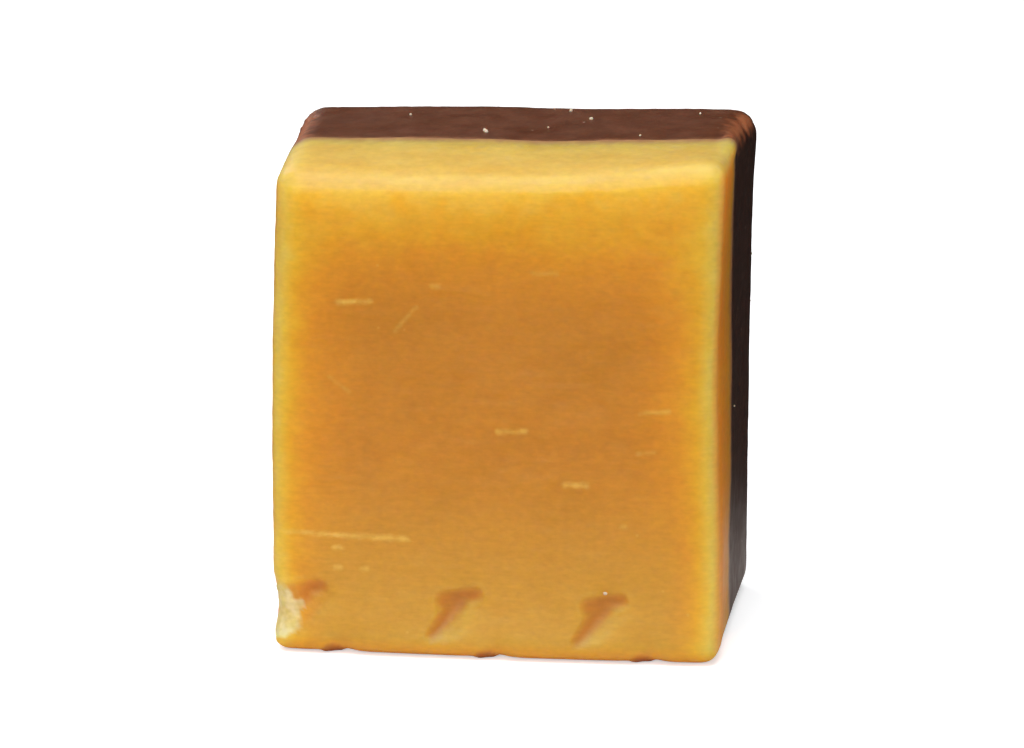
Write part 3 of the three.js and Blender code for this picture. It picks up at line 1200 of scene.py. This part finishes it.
# %% Scratches on the chocolate
CHOCOLATE_SCRATCHES = [  # two long shallow arcs and a few short strokes
    ((-7.4, 22.6), (-4.3, 21.2), 0.16, 0.55),
    ((-4.3, 21.2), (-1.4, 18.9), 0.18, 0.70),
    ((-1.4, 18.9), (0.6, 16.1), 0.16, 0.50),
    ((2.2, 9.8), (5.3, 9.1), 0.18, 0.60),
    ((5.3, 9.1), (8.2, 7.4), 0.16, 0.45),
    ((5.8, 21.8), (7.1, 22.4), 0.20, 0.60),
    ((-8.6, 8.2), (-7.1, 8.0), 0.22, 0.60),
    ((-3.9, 5.6), (-3.1, 6.3), 0.18, 0.45),
]
print("the chocolate has", len(CHOCOLATE_SCRATCHES), "scratches")

# %% Chocolate
COCOA = colour(0.100, 0.029, 0.0105)
BLOOM = colour(0.150, 0.052, 0.023)
# Painted shade for the cut sides.
SHADE_COCOA = colour(0.034, 0.011, 0.006)
SMEAR_TAN = colour(0.27, 0.108, 0.046)
TAN_REACH = (0.30, 1.10)
CRUMB_TAN = colour(0.380, 0.140, 0.065)
DUSTED, DARKENED, CRUMBLED, TANNED = 0.5, 0.85, 0.85, 0.7  # how fully each look covers
STREAKED_PALE, SPECKED = 0.2, 0.6
DUST_CLOUDS = {"size": 1.6, "detail": 5.0, "shift": 11.0}
DUST_RUN = (0.40, 0.66)  # from the clearest patch to the dustiest
CRUMBLE_CLOUDS = {"size": 0.3, "detail": 3.0}
CRUMBLE_BORDER = (1.2, 1.5)
PALE_SPECK = colour(0.62, 0.50, 0.38)
SCRATCH_TAN = colour(0.30, 0.135, 0.075)
CHOCOLATE_BACK = 7.0  # the broad face lies behind this depth
COCOA_GRAIN = {"coarseness": 0.8, "amount": 0.3, "spacing": 1.3, "size": 0.06}
CHOCOLATE_SATIN = (0.38, 0.52)
CHOCOLATE_RELIEF = 0.4
CHOCOLATE_DEPTHS = (0.9, 0.35, 0.2)


def make_chocolate():
    """Dark and satin, dusty on the flats, rubbed red at the edges, with painted shade on the cut
    sides.
    """
    finish, tree, shader, where, lumps, streaks, dots = fudge("chocolate_fudge", **COCOA_GRAIN)

    depth = place_along(tree, where, "Y")
    dusty = fade(tree, cloudy(tree, where, **DUST_CLOUDS), *DUST_RUN, 0.0, DUSTED)
    shade = blend(tree, dusty, COCOA, BLOOM)
    # Painted shade: the cut sides are darkened almost to black.
    shade = tint(tree, shade, fact(tree, "painted_side_shade"), DARKENED, SHADE_COCOA)
    shade = blend(tree, rubbed_edges(tree, where, depth), shade, RUBBED_RED)
    crumbling = sums(tree, "ADD", fact(tree, "crumbly"), cloudy(tree, where, **CRUMBLE_CLOUDS))
    crumbled = fade(tree, crumbling, *CRUMBLE_BORDER, 0.0, CRUMBLED)
    shade = blend(tree, crumbled, shade, CRUMB_TAN)
    smear = fade(tree, off_the_seam(tree, where), *TAN_REACH, TANNED, 0.0)
    shade = blend(tree, smear, shade, SMEAR_TAN)
    shade = tint(tree, shade, streaks, STREAKED_PALE, BLOOM)
    behind = sums(tree, "GREATER_THAN", depth, CHOCOLATE_BACK * MM)
    shade = tint(tree, shade, scratched(tree, where, CHOCOLATE_SCRATCHES), behind, SCRATCH_TAN)
    shade = tint(tree, shade, dots, SPECKED, PALE_SPECK)
    wire(tree, shader.inputs["Base Color"], grained(tree, shade, lumps))

    satin = fade(tree, lumps["Mottle"], *MOTTLE_RUN, *CHOCOLATE_SATIN)
    wire(tree, shader.inputs["Roughness"], satin)
    grain_relief(tree, shader, lumps, CHOCOLATE_RELIEF)

    feed(tree, shader, {"Subsurface Weight": 0.5, "Subsurface Radius": CHOCOLATE_DEPTHS})
    feed(tree, shader, {"Subsurface Scale": MM, "Specular IOR Level": 0.33})
    return finish


chocolate.data.materials.append(make_chocolate())
print("chocolate travels", CHOCOLATE_DEPTHS, "mm in red, green and blue")

# %% [markdown]
# ## Sugar grains and crumbs
#
# A few coarse sugar grains stick to the block, and its back edges have shed crumbs. Both
# are real pieces rather than painted dots, because they catch light on their own facets. One
# grain and one crumb are made from a small ball with its points thrown about. Every other is
# a copy with a turn and a size of its own, set on the skin and sunk a third of the way in.

# %% A lump and its copies
SUNK = 0.3
TURNS = (0, 6.28)  # up to a full turn, in radians
STRETCHES = (0.6, 1.3)  # along each of its axes
rng = np.random.default_rng(7)


def ball(jitter, seed):
    """A lump one millimetre wide: a ball of 80 faces with its points thrown about."""
    bpy.ops.object.select_all(action="DESELECT")
    bpy.ops.mesh.primitive_ico_sphere_add(subdivisions=2, radius=MM / 2)
    piece = bpy.context.object

    def throw():
        bpy.ops.mesh.select_all(action="SELECT")
        bpy.ops.transform.vertex_random(offset=jitter * MM, seed=seed)

    edit(piece, throw)
    return piece


def strew(first, name, spots, sizes):
    """Sets a copy of the lump on the skin nearest to each spot, and joins the copies."""
    copies = []
    for spot, size in zip(spots, sizes):
        aim = Vector(spot) * MM
        finds = [layer.closest_point_on_mesh(aim) for layer in (caramel, chocolate)]
        found = min(finds, key=lambda find: (find[1] - aim).length)
        pick(first)
        bpy.ops.object.duplicate(linked=False)
        copy = bpy.context.object
        copy.location = found[1] + found[2] * size * MM * (0.5 - SUNK)
        copy.rotation_euler = rng.uniform(*TURNS, 3)
        copy.scale = size * rng.uniform(*STRETCHES, 3)
        copies.append(copy)
    drop(first)
    bpy.ops.object.select_all(action="DESELECT")
    for copy in copies:
        copy.select_set(True)
    bpy.context.view_layer.objects.active = copies[0]
    bpy.ops.object.join()
    bpy.ops.object.transform_apply(location=True, rotation=True, scale=True)
    joined = bpy.context.object
    joined.name = name
    joined.data.name = name
    return joined


print("each lump is sunk by", SUNK, "of its width")

# %% Sugar grains
GRAINS = [  # across, back and up, and how wide each is, in millimetres
    ((-1.5, 0.0, 29), 0.30), ((1.9, 1.4, 29), 0.15), ((2.7, 5.8, 29), 0.20), ((1.7, 6.4, 29), 0.14),
    ((4.1, 3.5, 29), 0.20), ((10.2, 5.0, 29), 0.18), ((7.3, -0.7, 29), 0.14), ((-6.4, 4.3, 29), 0.16),
    ((14, 7.9, 22.5), 0.14), ((14, 7.9, 20.1), 0.14), ((14, 7.9, 17.2), 0.16), ((14, -0.2, 13), 0.15),
    ((-14, 3.2, 19.5), 0.18), ((-14, 5.6, 9.4), 0.15), ((-7.2, 9, 21), 0.20), ((3.1, 9, 16.4), 0.16),
    ((-2.4, 9, 8.8), 0.18), ((8.6, 9, 24.3), 0.15), ((9.5, 9, 5.9), 0.14), ((6.3, -9, 4.15), 0.26),
]
SUGAR_WHITE = colour(0.62, 0.52, 0.38)


def sugar():
    """Clear, hard crystals that look white."""
    finish, tree, shader = new_finish("sugar")
    feed(tree, shader, {"Base Color": SUGAR_WHITE, "Roughness": 0.25})
    feed(tree, shader, {"Subsurface Weight": 0.4, "Subsurface Scale": 0.3 * MM})
    return finish


grains = strew(ball(jitter=0.12, seed=3), "sugar_grains", *zip(*GRAINS))
grains.data.materials.append(sugar())
print(len(GRAINS), "sugar grains stick to the block")

# %% Crumbs
CRUMB_COUNT = 22
CRUMB_SIZES = (0.10, 0.27)
CRUMB_DEPTH = 8.1  # crumbs lie behind this depth
CRUMB_HEIGHTS = (1.5, 25.0)
CRUMB_EDGE = 0.4  # and within this of an edge
CRUMB_SHADE = 0.5  # they take the colour that the skin has this far from an edge

spots = places(chocolate)
low_crumb, high_crumb = CRUMB_HEIGHTS
standing = (spots[:, 2] > low_crumb) & (spots[:, 2] < high_crumb)
ragged = spots[standing & (spots[:, 1] > CRUMB_DEPTH) & (from_edge(spots) < CRUMB_EDGE)]
crumb_spots = rng.choice(ragged, CRUMB_COUNT, replace=False)
crumb_widths = rng.uniform(*CRUMB_SIZES, CRUMB_COUNT)
crumbs = strew(ball(jitter=0.2, seed=5), "chocolate_crumbs", crumb_spots, crumb_widths)
crumbs.data.materials.append(chocolate.data.materials[0])
store(crumbs, "edge_gap", np.full(len(crumbs.data.vertices), CRUMB_SHADE))
print(CRUMB_COUNT, "crumbs, at", len(ragged), "possible points")

# %% [markdown]
# ## Put together
#
# Everything rides on the block's one body, and the two layers stand for their CAD nodes,
# which are hidden.

# %% Put together
FINISHES = [
    (caramel, "caramel"),
    (chocolate, "chocolate"),
    (grains, "chocolate"),
    (crumbs, "chocolate"),
]
for piece, finish in FINISHES:
    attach(piece, "root")
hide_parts("caramel_layer")
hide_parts("chocolate_layer")
